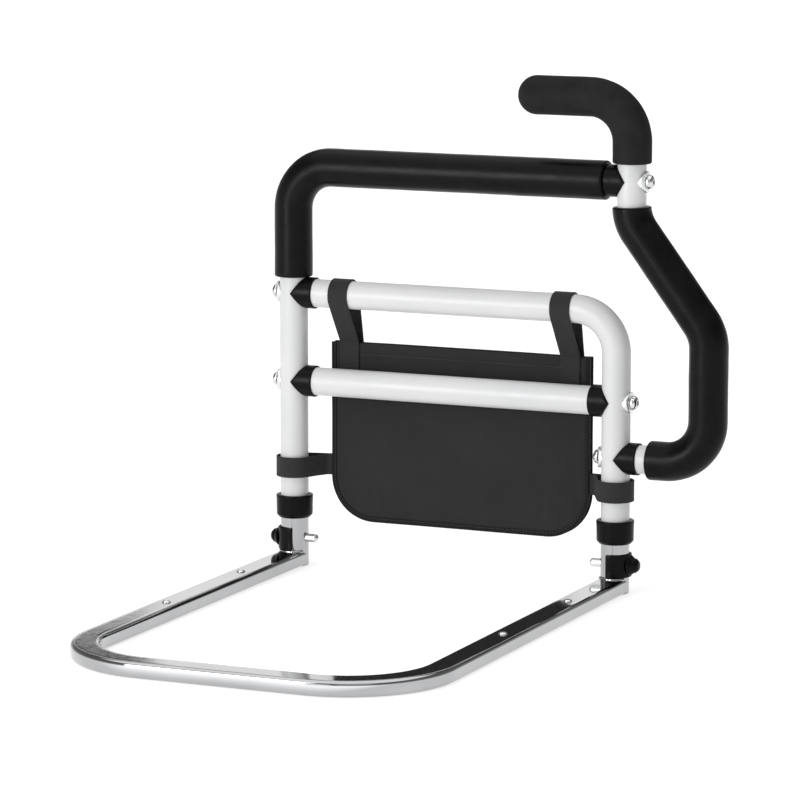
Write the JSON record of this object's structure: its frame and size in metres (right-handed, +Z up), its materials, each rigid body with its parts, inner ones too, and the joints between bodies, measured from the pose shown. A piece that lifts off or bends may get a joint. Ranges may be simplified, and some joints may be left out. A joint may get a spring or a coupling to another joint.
{
  "type": "bed assist rail",
  "caption": "Free-standing bed assist rail: chrome U base, lift-out white tube frame with foam grips, cane handle, side handle and hanging fabric pocket",
  "frame": {"origin": "middle of the bounding box at rest, at floor level", "axes": "+X along the crossbars towards the side handle, +Y away from the base's closed front, towards the pocket side, +Z up"},
  "size_m": [0.438, 0.501, 0.4537],
  "materials": {
    "chrome_plate": "bright chrome plate on steel tube",
    "zinc_steel": "zinc plated steel",
    "bolt_chrome": "bright domed head",
    "bright_washer": "bright plated curved washer",
    "black_plastic": "semi-gloss moulded plastic",
    "black_foam": "smooth closed-cell foam with a satin skin",
    "white_powder_coat": "smooth white powder coat",
    "pocket_fabric": "charcoal woven polyester",
    "binding_tape": "folded grosgrain tape",
    "strap_webbing": "flat woven webbing"
  },
  "bodies": {
    "base": {"base_tube": "chrome_plate", "left_socket": "chrome_plate", "right_socket": "chrome_plate"},
    "upper_frame": {"left_inner_leg": "zinc_steel", "right_inner_leg": "zinc_steel", "left_collar": "black_plastic", "right_collar": "black_plastic", "left_upright_tube": "white_powder_coat", "right_upright_tube": "white_powder_coat", "lower_crossbar": "white_powder_coat", "cane_handle_tube": "white_powder_coat", "cane_tube_plug": "black_plastic", "top_rail_grip": "black_foam", "cane_grip": "black_foam", "side_grip": "black_foam", "upper_left_saddle": "black_plastic", "lower_left_saddle": "black_plastic", "lower_right_saddle": "black_plastic", "side_handle_saddle": "black_plastic", "top_rail_saddle": "black_plastic", "upper_left_bolt": "bolt_chrome", "lower_left_bolt": "bolt_chrome", "lower_right_bolt": "bolt_chrome", "side_handle_bolt": "bolt_chrome", "top_rail_bolt": "bolt_chrome", "upper_left_washer": "bright_washer", "lower_left_washer": "bright_washer", "lower_right_washer": "bright_washer", "side_handle_washer": "bright_washer", "top_rail_washer": "bright_washer", "upper_left_insert": "zinc_steel", "lower_left_insert": "zinc_steel", "lower_right_insert": "zinc_steel", "side_handle_insert": "zinc_steel", "top_rail_insert": "zinc_steel", "pocket_front_panel": "pocket_fabric", "pocket_back_panel": "pocket_fabric", "pocket_gusset": "pocket_fabric", "pocket_binding": "binding_tape", "left_hanging_strap": "strap_webbing", "right_hanging_strap": "strap_webbing", "left_side_strap": "strap_webbing", "right_side_strap": "strap_webbing"},
    "left_lock": {"left_lock_clip": "black_plastic", "left_lock_pin": "zinc_steel"},
    "right_lock": {"right_lock_clip": "black_plastic", "right_lock_pin": "zinc_steel"}
  },
  "joints": [
    {"name": "frame_lift", "type": "slide", "parent": "base", "child": "upper_frame", "axis": [0, 0, 1], "range_m": [0, 0.12]},
    {"name": "left_lock_pull", "type": "slide", "parent": "base", "child": "left_lock", "axis": [-1, 0, 0], "range_m": [0, 0.045]},
    {"name": "right_lock_pull", "type": "slide", "parent": "base", "child": "right_lock", "axis": [1, 0, 0], "range_m": [0, 0.045]}
  ]
}
